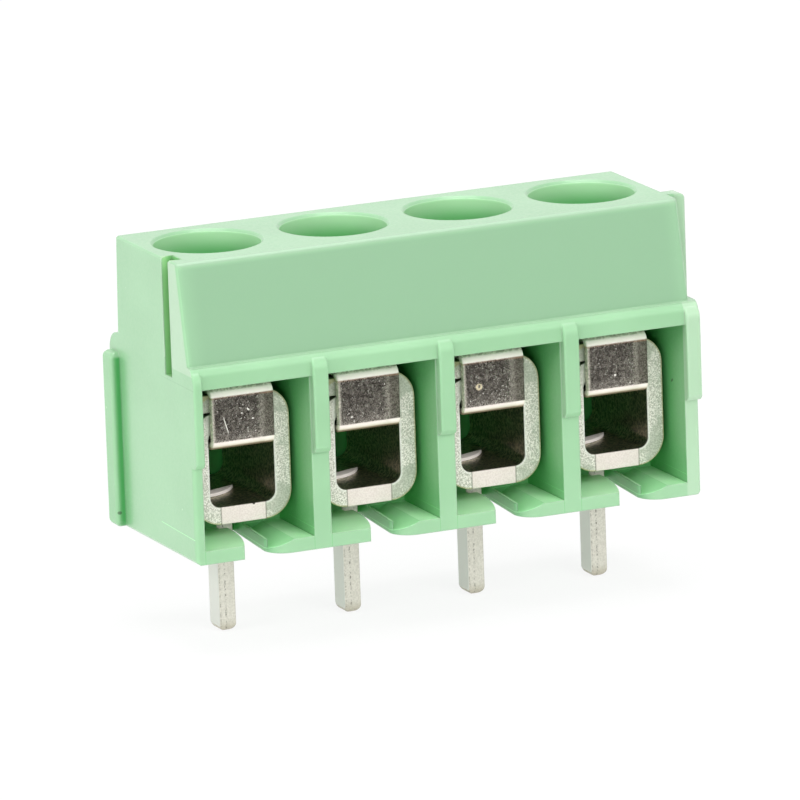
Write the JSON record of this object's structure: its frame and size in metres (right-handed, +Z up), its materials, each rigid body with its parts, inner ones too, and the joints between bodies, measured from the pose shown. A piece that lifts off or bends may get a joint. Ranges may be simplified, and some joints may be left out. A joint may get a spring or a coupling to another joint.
{
  "type": "pcb terminal block",
  "caption": "Screw terminal block for a circuit board, with open wire entries, leaf wire guards and solder pins below.",
  "frame": {"origin": "on the face that meets the board, in the middle of the row of solder pins", "axes": "+X along the row to the right as seen from the wire entries, +Y to the rear, +Z up away from the board"},
  "size_m": [0.0213, 0.008, 0.0148],
  "materials": {
    "housing_plastic": "light green, satin",
    "clamp_metal": "tin plated brass, cut edges matte",
    "guard_metal": "plated spring leaf, glossy",
    "screw_metal": "zinc plated steel"
  },
  "bodies": {
    "block": {"housing": "housing_plastic", "clamp_body_1": "clamp_metal", "clamp_body_2": "clamp_metal", "clamp_body_3": "clamp_metal", "clamp_body_4": "clamp_metal"},
    "guard_1": {"wire_guard_1": "guard_metal"},
    "screw_1": {"clamp_screw_1": "screw_metal"},
    "guard_2": {"wire_guard_2": "guard_metal"},
    "screw_2": {"clamp_screw_2": "screw_metal"},
    "guard_3": {"wire_guard_3": "guard_metal"},
    "screw_3": {"clamp_screw_3": "screw_metal"},
    "guard_4": {"wire_guard_4": "guard_metal"},
    "screw_4": {"clamp_screw_4": "screw_metal"}
  },
  "joints": [
    {"name": "screw_feed_1", "type": "slide", "parent": "block", "child": "guard_1", "axis": [0, 0, -1], "range_m": [0, 0.002], "deforming": ["wire_guard_1"]},
    {"name": "screw_turn_1", "type": "hinge", "parent": "guard_1", "child": "screw_1", "pos_m": [-0.00762, 0.00011, 0], "axis": [0, 0, -1], "range_deg": [0, 1600]},
    {"name": "screw_feed_2", "type": "slide", "parent": "block", "child": "guard_2", "axis": [0, 0, -1], "range_m": [0, 0.002], "deforming": ["wire_guard_2"]},
    {"name": "screw_turn_2", "type": "hinge", "parent": "guard_2", "child": "screw_2", "pos_m": [-0.00254, 0.00011, 0], "axis": [0, 0, -1], "range_deg": [0, 1600]},
    {"name": "screw_feed_3", "type": "slide", "parent": "block", "child": "guard_3", "axis": [0, 0, -1], "range_m": [0, 0.002], "deforming": ["wire_guard_3"]},
    {"name": "screw_turn_3", "type": "hinge", "parent": "guard_3", "child": "screw_3", "pos_m": [0.00254, 0.00011, 0], "axis": [0, 0, -1], "range_deg": [0, 1600]},
    {"name": "screw_feed_4", "type": "slide", "parent": "block", "child": "guard_4", "axis": [0, 0, -1], "range_m": [0, 0.002], "deforming": ["wire_guard_4"]},
    {"name": "screw_turn_4", "type": "hinge", "parent": "guard_4", "child": "screw_4", "pos_m": [0.00762, 0.00011, 0], "axis": [0, 0, -1], "range_deg": [0, 1600]}
  ],
  "couplings": [
    {"joint": "screw_turn_1", "follows": "screw_feed_1", "rad_per_m": 13962},
    {"joint": "screw_turn_2", "follows": "screw_feed_2", "rad_per_m": 13962},
    {"joint": "screw_turn_3", "follows": "screw_feed_3", "rad_per_m": 13962},
    {"joint": "screw_turn_4", "follows": "screw_feed_4", "rad_per_m": 13962}
  ]
}
